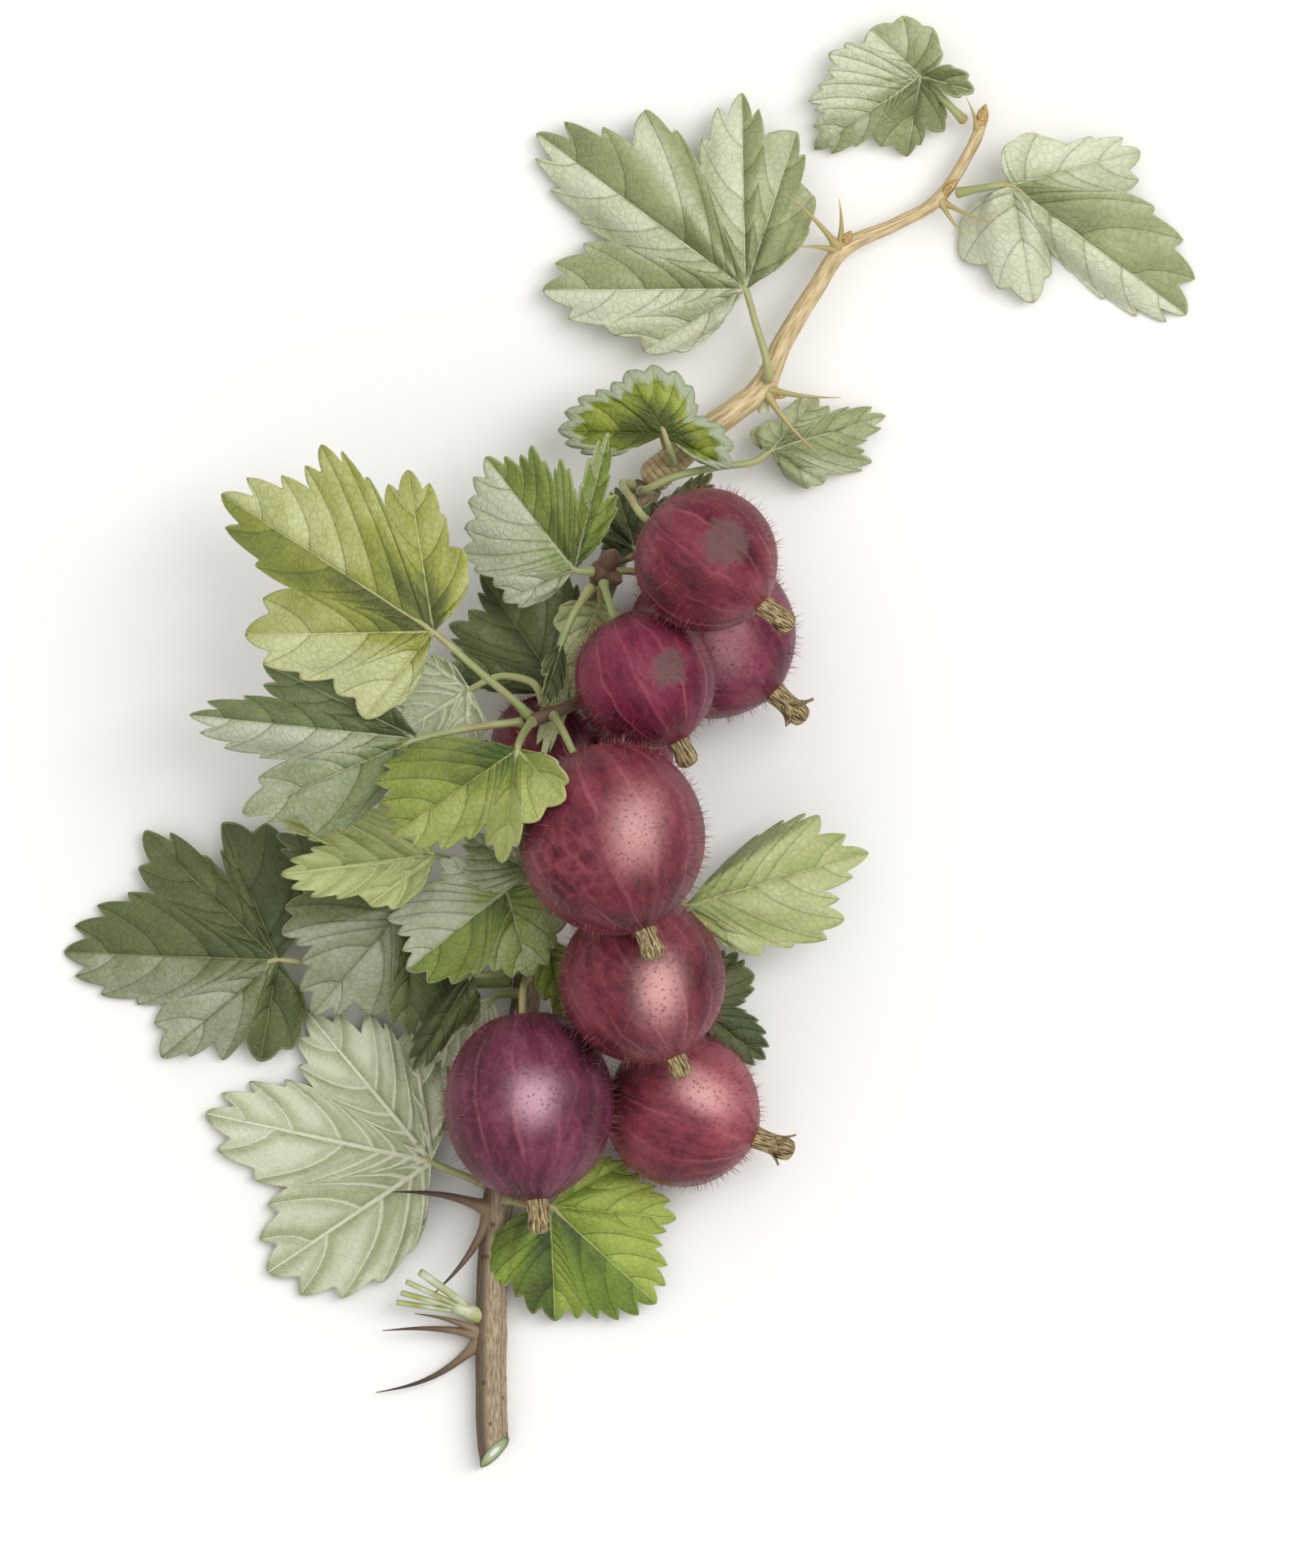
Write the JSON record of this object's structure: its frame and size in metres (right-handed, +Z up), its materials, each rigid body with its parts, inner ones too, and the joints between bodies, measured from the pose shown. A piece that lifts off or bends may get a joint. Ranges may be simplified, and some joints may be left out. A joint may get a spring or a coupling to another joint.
{
  "type": "cut fruiting gooseberry branch",
  "caption": "Cut gooseberry branch lying on a table: thorny old wood and young shoot, lobed toothed leaves on stalks and ripe crimson berries with dried flower ends.",
  "frame": {"origin": "on the table under the middle of the branch's bounding box", "axes": "+Z up from the table, +Y from the cut foot towards the young shoot's tip, +X towards the side the berries hang on"},
  "size_m": [0.1621, 0.2084, 0.0554],
  "materials": {
    "old_wood": "matte grey-brown bark with rings, spots and a pale oblique cut",
    "young_shoot": "satin tan young bark with green and red tints",
    "spur_bark": "rough dark brown bud scales and ringed spur bark",
    "berry": "satin translucent crimson skin with paler veins, dark dots and fine hairs",
    "leaf": "matte green leaf, paler underneath, with sunken veins"
  },
  "bodies": {
    "root": {"old_wood": "old_wood", "young_shoot": "young_shoot", "fruit_spur": "spur_bark", "leaf_spur": "spur_bark", "berry_1": "berry", "berry_2": "berry", "berry_3": "berry", "berry_4": "berry", "berry_5": "berry", "berry_6": "berry", "berry_7": "berry", "berry_8": "berry", "berry_9": "berry", "leaf_01": "leaf", "leaf_02": "leaf", "leaf_03": "leaf", "leaf_04": "leaf", "leaf_05": "leaf", "leaf_06": "leaf", "leaf_07": "leaf", "leaf_08": "leaf", "leaf_09": "leaf", "leaf_10": "leaf", "leaf_11": "leaf", "leaf_12": "leaf", "leaf_13": "leaf", "leaf_14": "leaf", "leaf_15": "leaf", "leaf_16": "leaf", "leaf_18": "leaf", "leaf_19": "leaf", "leaf_20": "leaf", "leaf_21": "leaf", "leaf_22": "leaf", "leaf_23": "leaf", "leaf_24": "leaf", "leaf_25": "leaf", "leaf_27": "leaf", "leaf_28": "leaf", "leaf_29": "leaf"}
  },
  "joints": []
}
